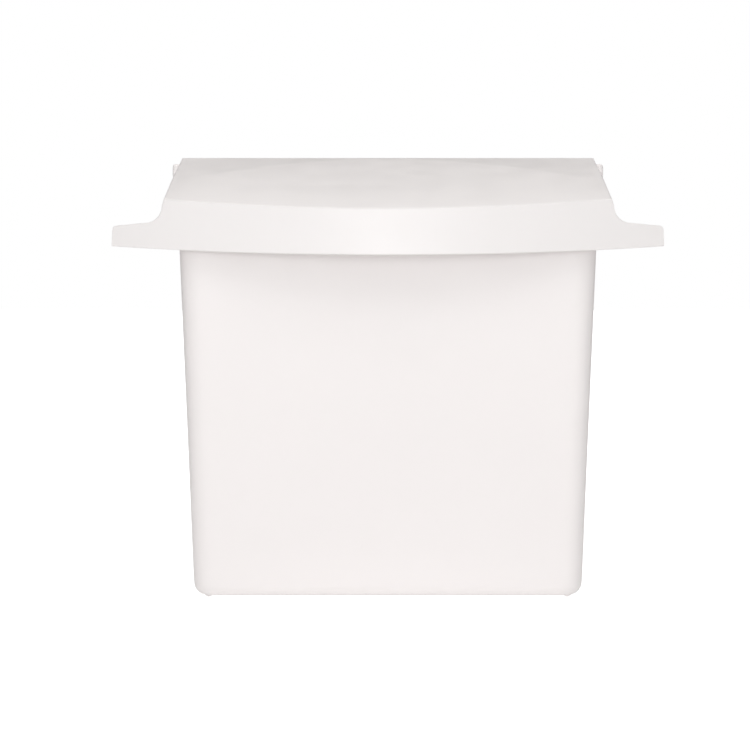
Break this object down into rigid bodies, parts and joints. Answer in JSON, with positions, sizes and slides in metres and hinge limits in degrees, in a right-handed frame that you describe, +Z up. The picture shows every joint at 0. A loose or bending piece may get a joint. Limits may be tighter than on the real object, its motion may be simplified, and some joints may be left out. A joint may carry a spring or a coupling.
{
  "type": "wall-mounted lidded waste bin",
  "caption": "Narrow lidded waste bin with a bowed self-closing lid, side lift tabs, a flat back for wall fixing and a lift-out liner.",
  "frame": {"origin": "bottom centre of the bounding box, on the surface the foot pips stand on", "axes": "+X to the right seen from the front, +Y back towards the wall, +Z up"},
  "size_m": [0.3302, 0.1346, 0.2692],
  "materials": {
    "bin_plastic": "warm white moulded plastic, satin with a fine grain",
    "lid_plastic": "warm white moulded plastic, satin with a fine grain",
    "pin_plastic": "warm white moulded plastic, smooth",
    "liner_plastic": "light grey moulded plastic, matte",
    "bail_wire": "drawn steel wire, zinc plated",
    "tape_foam": "white foam adhesive strip with a matte release film"
  },
  "bodies": {
    "bin": {"bin_body": "bin_plastic", "hinge_pin_left": "pin_plastic", "hinge_pin_right": "pin_plastic", "mounting_tape_left": "tape_foam", "mounting_tape_right": "tape_foam"},
    "lid": {"lid": "lid_plastic"},
    "liner": {"rigid_liner": "liner_plastic"},
    "bail": {"liner_bail": "bail_wire"}
  },
  "joints": [
    {"name": "lid_hinge", "type": "hinge", "parent": "bin", "child": "lid", "pos_m": [0, 0.0565, 0.2598], "axis": [-1, 0, 0], "range_deg": [0, 95]},
    {"name": "liner_lift", "type": "slide", "parent": "bin", "child": "liner", "axis": [0, 0, 1], "range_m": [0, 0.06]},
    {"name": "bail_swing", "type": "hinge", "parent": "liner", "child": "bail", "pos_m": [0, 0.01094, 0.161], "axis": [-1, 0, 0], "range_deg": [0, 153.4]}
  ]
}
